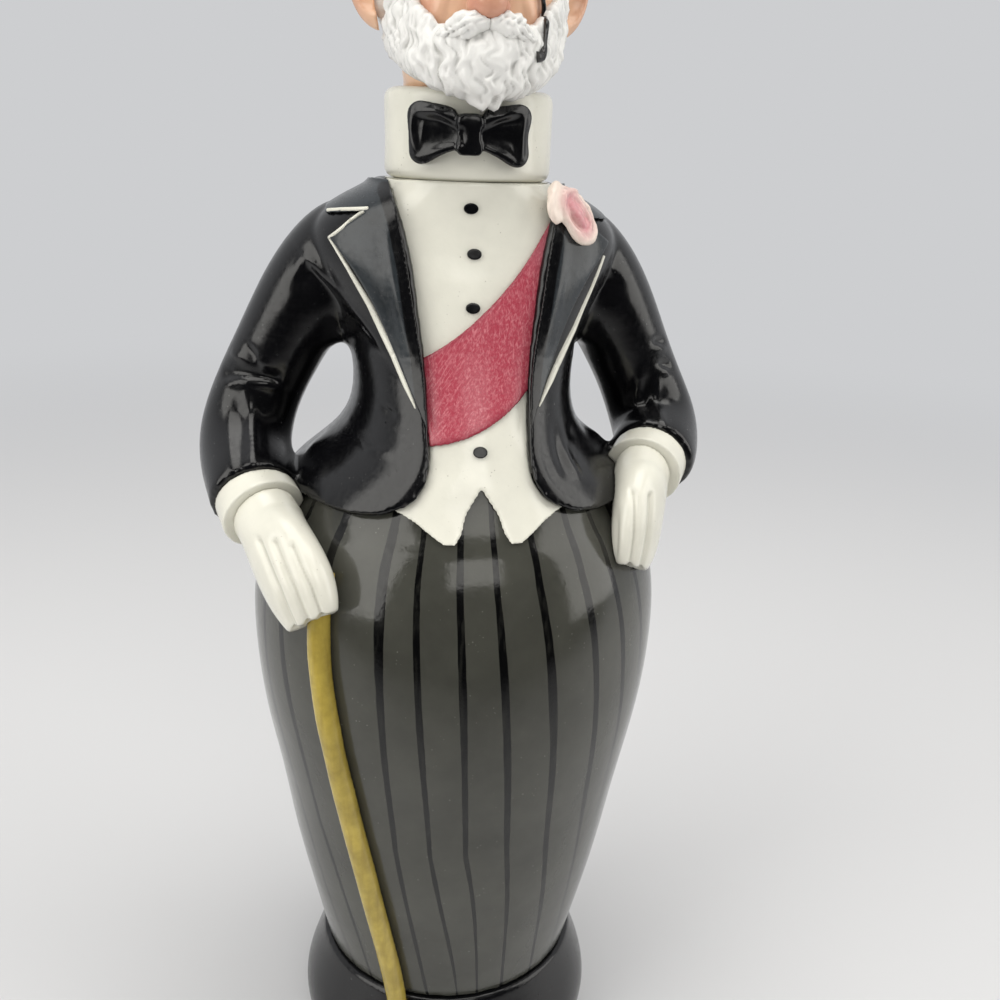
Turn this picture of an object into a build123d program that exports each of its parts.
from build123d import *
import os
from functools import lru_cache
from math import cos, pi, sin

# A figural liquor decanter in glazed earthenware, in millimetres: a portly old gentleman in
# evening dress. His striped trousers are the barrel that holds the liquor, his shoulders close
# it to a mouth inside the tall collar, and his head lifts off as the corked stopper.
# The figure faces -Y and stands on Z = 0. His right hand is on the -X side.

# Heights, from the table upwards
foot_height = 28.0
barrel_height = 128.0
yoke_height = 16.0
torso_height = 61.0
collar_height = 19.0
mouth_height = 8.0
head_height = 52.0
chin_sink = 2.0

# Widths and radii
foot_radius = 40.7
hem_radius = 34.3
belly_radius = 51.2
chest_half_width = 32.8
collar_radius = 18.8
neck_forward = 3.0
arm_reach = 61.5
head_half_width = 18.8

# Clay walls and the reliefs laid on them
clay_wall = 4.0
floor_thickness = 7.0
shirt_thickness = 1.0
coat_thickness = 3.2
lapel_thickness = 1.0
piping_thickness = 0.6
piping_width = 1.3
sash_thickness = 0.9
tail_thickness = 2.2
stud_radius = 1.6
stud_height = 0.5
seam = 0.1

# Mouth, stopper and cork
mouth_radius = 10.5
collar_wall = 3.2
collar_rounding = 2.2
plug_radius = 7.6
plug_length = 20.0
cork_length = 15.0
cork_drop = 1.5
stopper_clearance = 0.3
neck_radius = 14.6

# Limbs
sleeve_radius = 10.4
cane_radius = 2.6
cane_sink = 0.6

# Bow tie
bow_width = 25.4
bow_height = 12.2
bow_depth = 3.2
knot_width = 5.4
knot_depth = 4.6
bow_turn = -7.0

# Head details
hair_thickness = 2.4
ear_height = 20.0
ear_width = 15.0
ear_depth = 7.0
monocle_radius = 5.2
monocle_wire = 0.8
cord_width = 1.1
cord_thickness = 0.5

# Flower in the left lapel
flower_radius = 7.4

overrun = 100.0
edge_rounding = 1.2

hem_level = foot_height
hip_level = hem_level + barrel_height
waist_level = hip_level + yoke_height
neck_level = waist_level + torso_height
mouth_level = neck_level + mouth_height
collar_top = neck_level + collar_height
chin_level = collar_top - chin_sink
crown_level = chin_level + head_height
seat_level = mouth_level + stopper_clearance

# Trousers: height share of the barrel and radius share of the belly
trouser_shares = [
    (0.000, 0.670), (0.162, 0.760), (0.294, 0.830), (0.445, 0.896), (0.637, 0.979),
    (0.758, 1.000), (0.852, 0.988), (0.953, 0.924), (1.000, 0.865),
]
# Upper body: height share, half width share, front share and back share of each section. The
# yoke follows the belly, the chest follows the chest width and the nape follows the collar.
yoke_shares = [(0.000, 0.865, 0.865, 0.865), (0.375, 0.787, 0.787, 0.787), (1.000, 0.590, 0.707, 0.635)]
chest_shares = [
    (0.180, 0.710, 0.957, 0.777), (0.377, 0.720, 0.823, 0.640), (0.574, 0.848, 0.738, 0.585),
    (0.754, 0.988, 0.665, 0.543), (0.885, 0.872, 0.631, 0.506),
]
nape_shares = [(1.000, 0.989, 1.096, 0.824)]
foot_profile_shares = [(0.180, 0.988), (0.340, 1.000), (0.570, 0.971), (0.786, 0.916)]
foot_base_share = 0.946
foot_top_share = 0.866
cavity_top_share = 0.885


def section(level, half_width, front, back, centre=0.0):
    """An oval section, reaching further in front of its centre than behind it, or less."""
    return Pos(0, centre + (back - front) / 2, level) * Ellipse(half_width, (front + back) / 2)


@lru_cache(maxsize=None)
def trousers(grow=0.0):
    """The solid barrel from the trouser hem to the hip, swollen or shrunk by a thickness."""
    edge = [(share * belly_radius + grow, hem_level + up * barrel_height) for up, share in trouser_shares]
    (low_radius, low), (high_radius, high) = edge[0], edge[-1]
    return revolve(Plane.XZ * outline(((0, low), (low_radius, low)), edge,
                                      ((high_radius, high), (0, high)), ((0, high), (0, low))), Axis.Z)


@lru_cache(maxsize=None)
def chest(grow=0.0):
    """The solid upper body from the hip to the neck, swollen or shrunk by a thickness."""
    sections = []
    for base, height, size, table in (
        (hip_level, yoke_height, belly_radius, yoke_shares),
        (waist_level, torso_height, chest_half_width, chest_shares),
        (waist_level, torso_height, collar_radius, nape_shares),
    ):
        for up, across, front, back in table:
            sections.append(section(base + up * height, across * size + grow,
                                    front * size + grow, back * size + grow))
    return loft(sections)


def slab(low, high):
    """Everything between two levels."""
    return Pos(0, 0, (low + high) / 2) * Box(2 * overrun, 2 * overrun, high - low)


def layer(inner, outer, cutter, body=chest):
    """Clay laid on the upper body or the trousers between two offsets, inside a cutter."""
    return (body(outer) & cutter) - body(inner)


def front_prism(face):
    """A face drawn in X and Z, pushed forwards from the middle of the figure."""
    return extrude(Plane.XZ * face, overrun, dir=(0, -1, 0))


def back_prism(face):
    """The same face pushed backwards."""
    return extrude(Plane.XZ * face, overrun, dir=(0, 1, 0))


def outline(*runs):
    """A closed face from runs of points: a run of two is straight, a longer one curved."""
    edges = []
    for run in runs:
        edges.append(Line(*run) if len(run) == 2 else Spline(run))
    return make_face(edges)


def on_chest(table, side=1):
    """Points of the coat front, from shares of the chest width and the torso height."""
    return [(side * across * chest_half_width, waist_level + up * torso_height) for across, up in table]


def inner_face(side):
    """The alignment that puts a box's inner face on its place, for either side of the figure."""
    return Align.MIN if side > 0 else Align.MAX


def tidy(shape):
    """The largest solid of a cut shape, without slivers."""
    return max(shape.solids(), key=lambda solid: solid.volume)


# Barrel, foot and torso

def make_base_plinth():
    profile = [(share * foot_radius, up * foot_height) for up, share in foot_profile_shares]
    base_edge = (foot_base_share * foot_radius, 0)
    top_edge = (foot_top_share * foot_radius, foot_height)
    outer = outline(((0, 0), base_edge), (base_edge, *profile, top_edge),
                    (top_edge, (0, foot_height)), ((0, foot_height), (0, 0)))
    solid = revolve(Plane.XZ * outer, Axis.Z)
    hollow_height = foot_height - floor_thickness
    hollow = Pos(0, 0, floor_thickness + hollow_height / 2) * Cylinder(hem_radius - clay_wall,
                                                                      hollow_height)
    return solid - hollow


def make_trouser_barrel():
    outer = trousers() + (chest() & slab(hip_level, waist_level))
    return outer - trousers(-clay_wall) - chest(-clay_wall)


def make_torso_shell():
    roof = waist_level + cavity_top_share * torso_height
    shell = chest() & slab(waist_level, neck_level)
    shell -= chest(-clay_wall) & slab(hip_level, roof)
    tube_radius = collar_radius - collar_wall - seam
    neck_tube = Pos(0, -neck_forward, neck_level) * Cylinder(
        tube_radius, mouth_height, align=(Align.CENTER, Align.CENTER, Align.MIN))
    bore = Pos(0, -neck_forward, mouth_level) * Cylinder(
        mouth_radius, torso_height / 2 + mouth_height, align=(Align.CENTER, Align.CENTER, Align.MAX))
    return shell + neck_tube - bore


def make_collar():
    band = Cylinder(collar_radius, collar_height) - Cylinder(collar_radius - collar_wall, collar_height)
    band = Pos(0, -neck_forward, neck_level + collar_height / 2) * band
    levels = band.edges().group_by(Axis.Z)
    outer_rims = [level.sort_by(SortBy.RADIUS)[-1] for level in (levels[0], levels[-1])]
    band = fillet(outer_rims, collar_rounding)
    inner_rim = band.edges().group_by(Axis.Z)[-1].sort_by(SortBy.RADIUS)[0]
    return fillet(inner_rim, (collar_wall - collar_rounding) / 2)


# Shirt, waistcoat and coat: the coat opening, as shares across the chest and up the torso

opening_shares = [
    (0.625, -0.126), (0.433, -0.072), (0.350, 0.005), (0.341, 0.148), (0.366, 0.377),
    (0.415, 0.541), (0.463, 0.721), (0.512, 0.869), (0.567, 1.000),
]
opening_foot_share = (0.915, -0.148)
hem_share = -0.148


def opening(extra=0.0):
    """The gap between the coat fronts, with a margin added to each side."""
    right = [(-x - extra, z) for x, z in on_chest([opening_foot_share] + opening_shares)]
    left = [(x + extra, z) for x, z in on_chest([opening_foot_share] + opening_shares)]
    low = hem_level
    high = neck_level + collar_height
    return outline(right, (right[-1], (right[-1][0], high)), ((right[-1][0], high), (left[-1][0], high)),
                   ((left[-1][0], high), left[-1]), left, (left[0], (left[0][0], low)),
                   ((left[0][0], low), (right[0][0], low)), ((right[0][0], low), right[0]))


# Sash from his left shoulder to his right hip: upper and lower edges
sash_top_shares = [(0.700, 1.000), (0.491, 0.866), (0.402, 0.790), (0.268, 0.689), (0.079, 0.580),
                   (-0.122, 0.484), (-0.329, 0.407), (-0.520, 0.350)]
sash_low_shares = [(-0.520, 0.085), (-0.348, 0.097), (-0.131, 0.126), (0.073, 0.174), (0.253, 0.238),
                   (0.378, 0.303), (0.560, 0.420)]
vest_line_shares = [(-0.600, 0.200), (0.600, 0.620)]
# Hem of the waistcoat: two points with a notch between them, left half from the notch outwards
vest_hem_shares = [(0.113, -0.130), (0.244, -0.222), (0.415, -0.165), (0.640, -0.118), (0.915, -0.100)]
vest_notch_share = -0.036


def below_vest_line(drop=0.0):
    (x0, z0), (x1, z1) = on_chest(vest_line_shares)
    floor = hem_level
    return outline(((x0, z0 - drop), (x1, z1 - drop)), ((x1, z1 - drop), (x1, floor)),
                   ((x1, floor), (x0, floor)), ((x0, floor), (x0, z0 - drop)))


def make_shirt_front():
    shirt = layer(seam, shirt_thickness, front_prism(opening()) & slab(waist_level, neck_level))
    return tidy(shirt - front_prism(below_vest_line()))


def make_waistcoat():
    notch = (0, waist_level + vest_notch_share * torso_height)
    right = on_chest(vest_hem_shares, -1)
    left = on_chest(vest_hem_shares)
    top = neck_level
    cloth = outline((notch, left[0]), left, (left[-1], (left[-1][0], top)),
                    ((left[-1][0], top), (right[-1][0], top)), ((right[-1][0], top), right[-1]),
                    right[::-1], (right[0], notch))
    panel = layer(seam, shirt_thickness, front_prism(cloth) & front_prism(opening()))
    return tidy(panel & front_prism(below_vest_line(seam)))


def make_sash():
    top = on_chest(sash_top_shares)
    low = on_chest(sash_low_shares)
    band = outline(top, (top[-1], low[0]), low, (low[-1], top[0]))
    return tidy(layer(shirt_thickness + seam, shirt_thickness + sash_thickness,
                      front_prism(band) & front_prism(opening())))


# The hem seen from the side: level round the front, then falling to the tails behind
hem_turn_share = 0.10
hem_fall_share = 0.80


def make_tailcoat():
    hem = waist_level + hem_share * torso_height
    coat = layer(seam, coat_thickness, slab(hip_level, neck_level))
    coat -= front_prism(opening(seam))
    turn = (hem_turn_share * belly_radius, hem)
    fall = (hem_fall_share * belly_radius, hip_level)
    below = outline(((-overrun, hem), turn), (turn, fall), (fall, (fall[0], hem_level)),
                    ((fall[0], hem_level), (-overrun, hem_level)), ((-overrun, hem_level), (-overrun, hem)))
    return tidy(coat - extrude(Plane.YZ * below, overrun, both=True))


# Tails: left half of the outline seen from behind, shares of the belly and of the barrel
tail_outer_shares = [(0.700, 1.000), (0.610, 0.800), (0.450, 0.560), (0.310, 0.370)]
tail_tip_shares = [(0.310, 0.370), (0.230, 0.320), (0.130, 0.345)]
tail_inner_shares = [(0.130, 0.345), (0.070, 0.560), (0.035, 0.800), (0.016, 1.000)]


def make_coat_tail(side):
    def points(table):
        return [(side * across * belly_radius, hem_level + up * barrel_height) for across, up in table]
    outer = points(tail_outer_shares)
    inner = points(tail_inner_shares)
    shape = outline(outer, points(tail_tip_shares), inner, (inner[-1], outer[0]))
    return tidy(layer(seam, tail_thickness, back_prism(shape) & slab(hem_level, hip_level - seam), trousers))


# Lapels: outer edge from the coat button upwards, then the notch and the collar turned over the neck
lapel_edge_shares = [(0.408, 0.230), (0.530, 0.387), (0.680, 0.569), (0.832, 0.705)]
lapel_tip_share = (0.966, 0.798)
notch_root_share = (0.710, 0.893)
collar_tip_share = (0.985, 0.872)
collar_back_share = (0.920, 1.000)


@lru_cache(maxsize=None)
def make_lapel(side):
    edge = on_chest(lapel_edge_shares, side)
    tip, root, point, back = on_chest([lapel_tip_share, notch_root_share, collar_tip_share,
                                       collar_back_share], side)
    inner = on_chest(opening_shares[3:], side)
    top = (inner[-1][0], neck_level + overrun)
    far = (back[0], neck_level + overrun)
    shape = outline(edge, (edge[-1], tip), (tip, root), (root, point), (point, back), (back, far),
                    (far, top), (top, inner[-1]), inner[::-1], (inner[0], edge[0]))
    cloth = layer(coat_thickness + seam, coat_thickness + lapel_thickness,
                  front_prism(shape) & slab(waist_level, neck_level))
    return tidy(cloth - front_prism(opening(seam)))


def ribbon(points, width):
    """A strip of even width along straight runs, mitred at its corners."""
    sides = ([], [])
    for i, (x, z) in enumerate(points):
        before = points[max(i - 1, 0)]
        after = points[min(i + 1, len(points) - 1)]
        here = Vector(x, z)
        first = (here - Vector(*before)).normalized() if i else (Vector(*after) - here).normalized()
        last = (Vector(*after) - here).normalized() if i < len(points) - 1 else first
        across = Vector(-first.Y - last.Y, first.X + last.X).normalized()
        reach = width / 2 / max(across.dot(Vector(-first.Y, first.X)), 0.4)
        sides[0].append((x + across.X * reach, z + across.Y * reach))
        sides[1].append((x - across.X * reach, z - across.Y * reach))
    return make_face(Polyline(*sides[0], *sides[1][::-1], close=True))


@lru_cache(maxsize=None)
def make_lapel_piping(side):
    line = on_chest([*lapel_edge_shares, lapel_tip_share, notch_root_share, collar_tip_share], side)
    inner = coat_thickness + lapel_thickness + seam
    strip = front_prism(ribbon(line, piping_width)) & slab(waist_level, neck_level)
    return tidy(layer(inner, inner + piping_thickness, strip))


# Arms: places as shares of the arm reach across, the belly forwards and the torso upwards from
# the waist, each with a share of the sleeve radius
left_arm_shares = [
    (0.320, -0.040, 0.713, 1.10), (0.500, -0.050, 0.650, 1.22), (0.630, -0.078, 0.480, 1.07),
    (0.745, -0.117, 0.270, 1.00),
    (0.823, -0.107, 0.090, 1.04), (0.820, 0.049, -0.020, 1.02), (0.756, 0.205, -0.066, 1.00),
]
left_hand_shares = [
    (0.756, 0.205, -0.066, 0.90, 0.90), (0.707, 0.300, -0.095, 0.92, 0.90),
    (0.680, 0.370, -0.120, 0.78, 0.66), (0.650, 0.490, -0.195, 0.98, 0.58),
    (0.618, 0.590, -0.330, 0.90, 0.44), (0.605, 0.625, -0.395, 0.62, 0.30),
]
right_arm_shares = [
    (-0.320, -0.040, 0.713, 1.10), (-0.500, -0.050, 0.650, 1.22), (-0.630, -0.078, 0.480, 1.07),
    (-0.745, -0.117, 0.270, 1.00),
    (-0.828, -0.107, 0.065, 1.04), (-0.838, 0.072, -0.090, 1.04), (-0.800, 0.262, -0.185, 1.02),
]
right_hand_shares = [
    (-0.800, 0.262, -0.185, 0.92, 0.92), (-0.768, 0.358, -0.225, 0.96, 0.94),
    (-0.735, 0.440, -0.260, 0.80, 0.72), (-0.695, 0.570, -0.320, 0.98, 0.66),
    (-0.635, 0.710, -0.410, 0.95, 0.60), (-0.595, 0.780, -0.510, 0.70, 0.42),
]
cuff_sections = 2
finger_groove = 0.5


def arm_point(across, forward, up):
    return Vector(across * arm_reach, -forward * belly_radius, waist_level + up * torso_height)


def arm_planes(table):
    """Planes square to the arm at each place, with X along the body and Y outwards."""
    points = [arm_point(*row[:3]) for row in table]
    planes = []
    for i, point in enumerate(points):
        before = points[max(i - 1, 0)]
        after = points[min(i + 1, len(points) - 1)]
        along = (after - before).normalized()
        outward = Vector(point.X, point.Y, 0).normalized()
        planes.append(Plane(origin=point, x_dir=outward.cross(along).normalized(), z_dir=along))
    return planes


@lru_cache(maxsize=None)
def bulk():
    """The clothed body that the arms lie against."""
    hem = waist_level + hem_share * torso_height
    return (chest(coat_thickness + seam) & slab(hem, neck_level)) + chest(seam) + trousers(seam)


@lru_cache(maxsize=None)
def arm(side):
    """Sleeve, cuff and hand of one side, as separate solids."""
    sleeve_table = left_arm_shares if side > 0 else right_arm_shares
    hand_table = left_hand_shares if side > 0 else right_hand_shares
    table = [row[:3] for row in sleeve_table] + [row[:3] for row in hand_table[1:]]
    planes = arm_planes(table)
    sleeve_planes = planes[:len(sleeve_table)]
    hand_planes = planes[len(sleeve_table) - 1:]
    sleeve = loft([plane * Circle(row[3] * sleeve_radius)
                   for plane, row in zip(sleeve_planes, sleeve_table)])
    rings = [plane * Ellipse(row[3] * sleeve_radius, row[4] * sleeve_radius)
             for plane, row in zip(hand_planes, hand_table)]
    cuff = loft(rings[:cuff_sections])
    hand = loft(rings[cuff_sections:])
    wrist = loft([hand_planes[1] * Ellipse(row[3] * sleeve_radius, row[4] * sleeve_radius)
                  for row in hand_table[2:3]] + [rings[2]])
    sleeve -= bulk() + make_lapel(side) + make_lapel_piping(side)
    return tidy(sleeve), tidy(cuff - bulk()), tidy(hand + wrist - bulk() - cane_rod())


# Cane on his right: shares of the barrel height, degrees round from the front
cane_shares = [(0.960, -44.0), (0.810, -42.1), (0.656, -39.4), (0.476, -36.6), (0.231, -31.9),
               (0.074, -29.2), (-0.030, -27.6)]


def trouser_radius(up):
    """The barrel radius at a share of its height, straight between the sections."""
    for (low, small), (high, large) in zip(trouser_shares, trouser_shares[1:]):
        if up <= high:
            return (small + (large - small) * (up - low) / (high - low)) * belly_radius
    return trouser_shares[-1][1] * belly_radius


@lru_cache(maxsize=None)
def cane_rod():
    path = []
    for up, turn in cane_shares:
        away = trouser_radius(max(up, 0)) + cane_radius - cane_sink
        path.append(Vector(0, -away, hem_level + up * barrel_height).rotate(Axis.Z, turn))
    line = Spline(path)
    return sweep(Plane(origin=line @ 0, z_dir=line % 0) * Circle(cane_radius), path=line)


def make_cane():
    return tidy(cane_rod() - trousers(seam) - make_base_plinth())


def make_shirt_studs():
    rod = extrude(Ellipse(stud_radius, stud_radius * stud_flat_share), overrun)
    studs = []
    for across, up in on_chest(stud_shares):
        pin = Pos(across, 0, up) * Rot(90, 0, 0) * rod
        base = shirt_thickness + seam
        studs.append(tidy(layer(base, base + stud_height, pin)))
    return studs


stud_flat_share = 0.72
stud_shares = [(-0.049, 0.913), (-0.024, 0.759), (-0.034, 0.575), (-0.003, 0.089)]


# Bow tie round the front of the collar

wing_shares = [(0.170, 0.36), (0.340, 0.44), (0.620, 0.49), (0.900, 0.50), (1.000, 0.40),
               (0.975, 0.00), (0.960, -0.42), (0.860, -0.50), (0.500, -0.37), (0.170, -0.26)]


def bow_level():
    return neck_level + bow_level_share * collar_height


bow_level_share = 0.505
knot_height_share = 0.68


def collar_band(depth, cutter):
    """A band of a given depth round the collar, inside a cutter drawn on the front."""
    height = 2 * collar_height
    outer = Pos(0, -neck_forward, bow_level()) * Cylinder(collar_radius + seam + depth, height)
    inner = Pos(0, -neck_forward, bow_level()) * Cylinder(collar_radius + seam, height)
    turned = Pos(0, -neck_forward, 0) * Rot(0, 0, bow_turn) * Pos(0, neck_forward, 0) * cutter
    return (outer & turned) - inner


def make_bow_knot():
    height = knot_height_share * bow_height
    block = Box(knot_width, overrun, height, align=(Align.CENTER, Align.MAX, Align.CENTER))
    block = fillet(block.edges().filter_by(Axis.Y), min(edge_rounding, knot_width / 4))
    return tidy(collar_band(knot_depth, Pos(0, 0, bow_level()) * block))


def make_bow_wing(side):
    points = [(side * across * bow_width / 2, bow_level() + up * bow_height) for across, up in wing_shares]
    shape = outline(points, (points[-1], points[0]))
    beside_knot = Pos(side * (knot_width / 2 + seam), 0, bow_level()) * Box(
        overrun, 2 * overrun, overrun, align=(inner_face(side), Align.CENTER, Align.CENTER))
    return tidy(collar_band(bow_depth, front_prism(shape) & beside_knot))


# Flower in the left buttonhole

flower_share = (0.640, 0.900)
flower_turn = 38.0
flower_tilt = 20.0
# The hanging petal that holds the heart, and the leaf beside it: across, up, length, width and
# depth as shares of the flower's radius, and the turn from upright in degrees
cup_share = (0.100, -0.040, 1.000, 0.640, 0.300, 34.0)
leaf_share = (-0.520, 0.380, 0.640, 0.400, 0.240, -18.0)
hollow_share = 0.66
heart_share = (0.520, 0.300, 0.160)


def petal(frame, across, up, length, width, depth, turn):
    """A flattened egg of clay laid in the flower's plane."""
    place = frame * Pos(across * flower_radius, up * flower_radius, 0) * Rot(0, 0, turn)
    return place, place * scale(Sphere(flower_radius), by=(width, length, depth))


def make_boutonniere():
    (across, up), = on_chest([flower_share])
    spot = front_spot(across, up, coat_thickness + lapel_thickness)
    frame = Pos(*spot) * Rot(0, 0, flower_turn) * Rot(90 - flower_tilt, 0, 0)
    place, cup = petal(frame, *cup_share)
    leaf = petal(frame, *leaf_share)[1]
    length, width, depth = (share * hollow_share * flower_radius for share in cup_share[2:5])
    rim = Pos(0, 0, cup_share[4] * flower_radius)
    hollow = place * rim * scale(Sphere(1), by=(width, length, depth))
    ground = chest(coat_thickness + lapel_thickness + 2 * seam + piping_thickness)
    petals = cup + leaf - hollow - ground - make_collar()
    length, width, depth = (share * flower_radius for share in heart_share)
    heart = place * rim * Pos(0, 0, -depth) * scale(Sphere(1), by=(width, length, depth))
    return tidy(petals - heart), tidy(heart - ground)


def front_spot(across, up, grow):
    """The point straight in front of a place on the figure."""
    ray = Line((across, -overrun, up), (across, 0, up)) - chest(grow)
    return max(ray.vertices(), key=lambda vertex: vertex.Y).center()


# Head: height share, half width share, front share, back share, all from the head's half width

head_shares = [
    (0.000, 0.700, 0.800, 0.660), (0.100, 0.800, 1.030, 0.820), (0.200, 0.880, 1.130, 0.910),
    (0.310, 0.960, 1.180, 1.010), (0.460, 1.000, 1.190, 1.110), (0.620, 1.000, 1.170, 1.140),
    (0.770, 0.915, 1.060, 1.040), (0.890, 0.718, 0.830, 0.800), (0.965, 0.426, 0.500, 0.480),
    (1.000, 0.130, 0.160, 0.160),
]


@lru_cache(maxsize=None)
def skull(grow=0.0):
    sections = []
    for up, across, front, back in head_shares:
        sections.append(section(chin_level + up * head_height, across * head_half_width + grow,
                             front * head_half_width + grow, back * head_half_width + grow,
                             -neck_forward))
    return loft(sections)


def head_point(across, forward, up):
    """A place on the head, from shares of its half width and of its height."""
    return Vector(across * head_half_width, -neck_forward - forward * head_half_width,
                  chin_level + up * head_height)


def rounded_limb(points, radii):
    """Balls at the points joined by cones."""
    shape = None
    for point, radius in zip(points, radii):
        ball = Pos(*point) * Sphere(radius)
        shape = ball if shape is None else shape + ball
    for start, end, low, high in zip(points, points[1:], radii, radii[1:]):
        along = end - start
        plane = Plane(origin=start + along / 2, z_dir=along)
        shape += plane * Cone(low, high, along.length) if low != high else (
            plane * Cylinder(low, along.length))
    return shape


nose_shares = [(0.0, 1.16, 0.56), (0.0, 1.30, 0.40), (0.0, 1.40, 0.335)]
nose_radius_shares = [0.085, 0.130, 0.185]
nostril_shares = (0.13, 1.30, 0.32)
nostril_radius_share = 0.11


def collar_room(inside):
    """The space that the collar takes, with clearance, for a piece that sits in or over it."""
    room = Cylinder(collar_radius + stopper_clearance, collar_height)
    if inside:
        room -= Cylinder(collar_radius - collar_wall - stopper_clearance, collar_height)
    return Pos(0, -neck_forward, collar_top + stopper_clearance - collar_height / 2) * room


@lru_cache(maxsize=None)
def make_head():
    neck = Pos(0, -neck_forward, seat_level) * Cylinder(
        neck_radius, chin_level + chin_sink + neck_radius / 2 - seat_level,
        align=(Align.CENTER, Align.CENTER, Align.MIN))
    across, forward, up = nostril_shares
    nose = rounded_limb([head_point(*row) for row in nose_shares],
                        [share * head_half_width for share in nose_radius_shares])
    for side in (-1, 1):
        nose += Pos(*head_point(side * across, forward, up)) * Sphere(
            nostril_radius_share * head_half_width)
    return skull() - collar_room(True) + neck + nose


# Hair: the line seen from the side, shares forwards of the head's axis and up the head
hairline_shares = [(-0.18, 0.16), (-0.10, 0.30), (0.10, 0.52), (0.42, 0.72), (0.86, 0.86), (1.70, 0.90)]


def make_hair():
    points = [(-neck_forward - forward * head_half_width, chin_level + up * head_height)
              for forward, up in hairline_shares]
    top = crown_level + hair_thickness
    far = points[-1][0]
    rear = overrun
    side_view = outline(points, ((far, points[-1][1]), (far, top)), ((far, top), (rear, top)),
                        ((rear, top), (rear, points[0][1])), ((rear, points[0][1]), points[0]))
    region = extrude(Plane.YZ * side_view, overrun, both=True)
    crown = Pos(0, 0, hair_rise) * skull(hair_thickness)
    return tidy((crown & region) - skull(seam))


hair_rise = 1.4


def make_ear(side):
    """A jug ear: an upright shell turned out from the head and hollowed in front."""
    ear = scale(Sphere(1), by=(ear_width / 2, ear_depth / 2, ear_height / 2))
    bowl = Pos(ear_width * ear_bowl_share, -ear_depth / 2, 0) * scale(
        Sphere(1), by=(ear_width / 3, ear_depth / 2, ear_height / 3))
    shape = Rot(0, ear_lean, 0) * Rot(0, 0, ear_flare) * (ear - bowl)
    if side < 0:
        shape = mirror(shape, Plane.YZ)
    spot = head_point(side * ear_place_shares[0], ear_place_shares[1], ear_place_shares[2])
    return tidy(Pos(*spot) * shape - skull(hair_thickness + seam) - make_beard())


ear_bowl_share = 0.08
ear_lean = 8.0
ear_flare = 25.0
ear_place_shares = (1.04, 0.05, 0.44)

# Full beard round the jaw: height share, half width share, front share and back share
beard_shares = [
    (-0.030, 0.100, 1.320, -1.160), (0.015, 0.360, 1.410, -0.900), (0.070, 0.660, 1.450, -0.400),
    (0.140, 0.880, 1.440, 0.300), (0.220, 0.980, 1.390, 0.800), (0.320, 1.020, 1.290, 0.900),
    (0.440, 1.045, 1.240, 0.900),
]
# Its upper edge seen from the front, left half, and its rear edge seen from the side
whisker_top_shares = [(0.000, 0.232), (0.300, 0.236), (0.540, 0.262), (0.720, 0.320), (0.860, 0.380),
                      (1.300, 0.420)]
whisker_rear_shares = [(-0.060, -0.100), (-0.020, 0.090), (0.140, 0.210), (0.380, 0.290), (0.430, 0.500)]


@lru_cache(maxsize=None)
def beard_form(grow=0.0):
    sections = []
    for up, across, front, back in beard_shares:
        sections.append(section(chin_level + up * head_height, across * head_half_width + grow,
                             front * head_half_width + grow, back * head_half_width + grow,
                             -neck_forward))
    return loft(sections)


@lru_cache(maxsize=None)
def whisker_room():
    """The part of the face that the beard grows on."""
    left = [(across * head_half_width, chin_level + up * head_height) for across, up in whisker_top_shares]
    right = [(-x, z) for x, z in left]
    low = neck_level
    front_view = outline(left, (left[-1], (left[-1][0], low)), ((left[-1][0], low), (right[-1][0], low)),
                         ((right[-1][0], low), right[-1]), right[::-1])
    rear = [(-neck_forward - forward * head_half_width, chin_level + up * head_height)
            for forward, up in whisker_rear_shares]
    side_view = outline(rear, (rear[-1], (-overrun, rear[-1][1])),
                        ((-overrun, rear[-1][1]), (-overrun, rear[0][1])), ((-overrun, rear[0][1]), rear[0]))
    return front_prism(front_view) & extrude(Plane.YZ * side_view, overrun, both=True)


@lru_cache(maxsize=None)
def make_beard():
    return tidy((beard_form() & whisker_room()) - make_head() - collar_room(False))


moustache_shares = [(0.03, 1.36, 0.275), (0.26, 1.38, 0.248), (0.47, 1.30, 0.215)]
moustache_radius_shares = [0.110, 0.140, 0.060]


def make_moustache(side):
    hairs = rounded_limb([head_point(side * row[0], *row[1:]) for row in moustache_shares],
                         [share * head_half_width for share in moustache_radius_shares])
    half = Pos(side * seam, 0, chin_level) * Box(overrun, 2 * overrun, overrun, align=(
        inner_face(side), Align.CENTER, Align.CENTER))
    return tidy((hairs & half) - make_beard() - make_head())


brow_shares = [(0.20, 1.19, 0.610), (0.40, 1.12, 0.630), (0.62, 0.98, 0.615)]
brow_radius_shares = [0.055, 0.065, 0.040]


def make_eyebrow(side):
    hairs = rounded_limb([head_point(side * row[0], *row[1:]) for row in brow_shares],
                         [share * head_half_width for share in brow_radius_shares])
    return tidy(hairs - make_head())


monocle_shares = (0.40, 0.480)
cord_shares = [(0.580, 0.440), (0.650, 0.380), (0.675, 0.330), (0.670, 0.270), (0.650, 0.200), (0.610, 0.158),
               (0.560, 0.170)]


def make_monocle():
    """A ring of clay round the left eye, laid on the face."""
    across = monocle_shares[0] * head_half_width
    up = chin_level + monocle_shares[1] * head_height
    inside = monocle_radius - monocle_wire
    ring_face = Pos(across, up) * (Circle(monocle_radius) - Circle(inside))
    return tidy((skull(monocle_wire + seam) & front_prism(ring_face)) - skull(seam))


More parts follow.
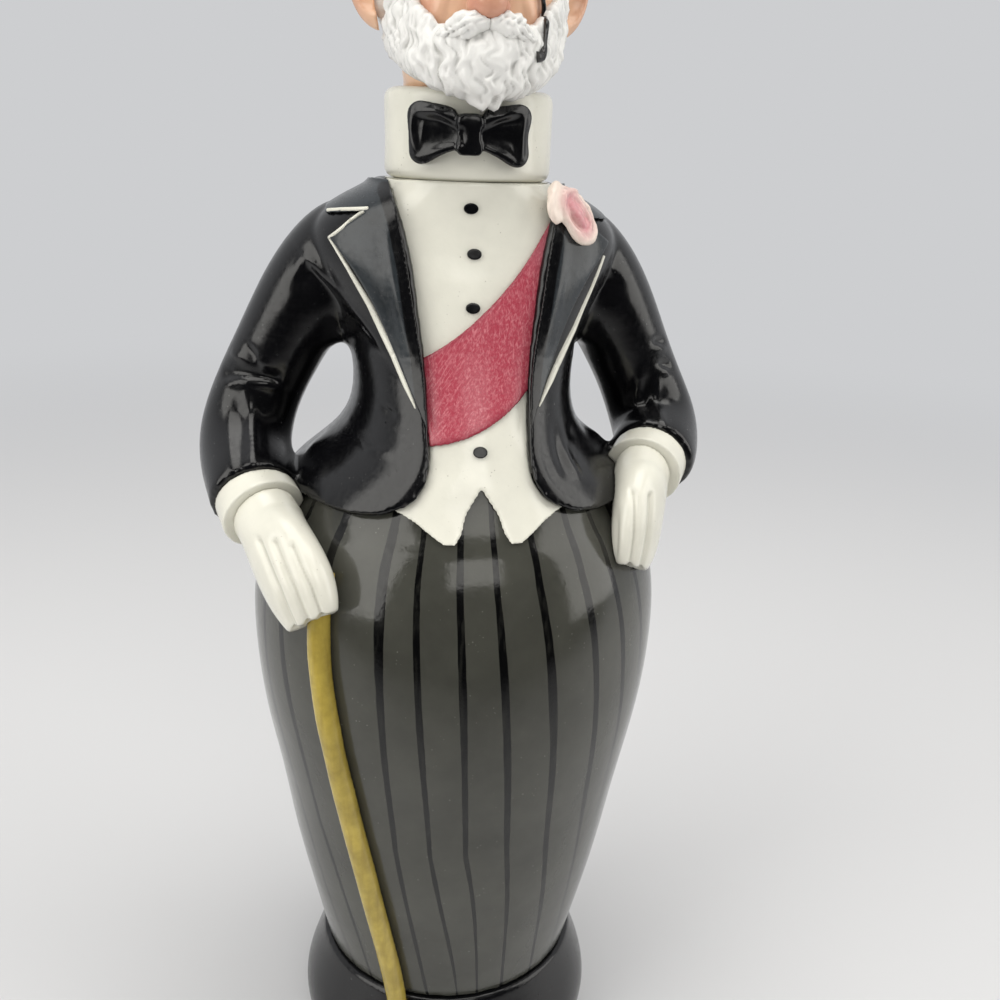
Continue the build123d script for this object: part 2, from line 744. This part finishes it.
def make_monocle_cord():
    """The cord, as a thin thread of clay down the cheek that hooks in over the beard."""
    line = [(across * head_half_width, chin_level + up * head_height) for across, up in cord_shares]
    strip = front_prism(ribbon(line, cord_width))
    across = monocle_shares[0] * head_half_width
    up = chin_level + monocle_shares[1] * head_height
    clear = front_prism(Pos(across, up) * Circle(monocle_radius + seam))
    on_cheek = (skull(cord_thickness + seam) & strip) - skull(seam) - clear - make_beard()
    on_beard = (beard_form(cord_thickness + seam) & strip & whisker_room()) - beard_form(seam)
    return [tidy(on_cheek), tidy(on_beard)]


def make_stopper_plug():
    return Pos(0, -neck_forward, seat_level) * Cylinder(
        plug_radius, plug_length, align=(Align.CENTER, Align.CENTER, Align.MAX))


def make_cork_sleeve():
    outer = mouth_radius - stopper_clearance
    sleeve = Cylinder(outer, cork_length) - Cylinder(plug_radius + seam, cork_length)
    sleeve = Pos(0, -neck_forward, seat_level - cork_drop - cork_length / 2) * sleeve
    low = sleeve.edges().group_by(Axis.Z)[0].sort_by(SortBy.LENGTH)[-1]
    return chamfer(low, min(edge_rounding, (outer - plug_radius) / 2))


def main():
    os.makedirs("parts", exist_ok=True)
    pieces = {
        "base_plinth": make_base_plinth(),
        "trouser_barrel": make_trouser_barrel(),
        "torso_shell": make_torso_shell(),
        "collar": make_collar(),
        "shirt_front": make_shirt_front(),
        "waistcoat": make_waistcoat(),
        "sash": make_sash(),
        "shirt_studs": Compound(children=make_shirt_studs()),
        "tailcoat": make_tailcoat(),
        "cane": make_cane(),
        "bow_knot": make_bow_knot(),
        "head": make_head(),
        "hair": make_hair(),
        "beard": make_beard(),
        "monocle": make_monocle(),
        "monocle_cord": Compound(children=make_monocle_cord()),
        "stopper_plug": make_stopper_plug(),
        "cork_sleeve": make_cork_sleeve(),
    }
    for name, side in (("right", -1), ("left", 1)):
        pieces["coat_tail_" + name] = make_coat_tail(side)
        pieces["lapel_" + name] = make_lapel(side)
        pieces["lapel_piping_" + name] = make_lapel_piping(side)
        pieces["bow_wing_" + name] = make_bow_wing(side)
        sleeve, cuff, hand = arm(side)
        pieces["sleeve_" + name] = sleeve
        pieces["cuff_" + name] = cuff
        pieces["hand_" + name] = hand
        pieces["ear_" + name] = make_ear(side)
        pieces["moustache_" + name] = make_moustache(side)
        pieces["eyebrow_" + name] = make_eyebrow(side)
    pieces["boutonniere_petals"], pieces["boutonniere_heart"] = make_boutonniere()
    for name, piece in pieces.items():
        export_step(piece, "parts/" + name + ".step")


main()
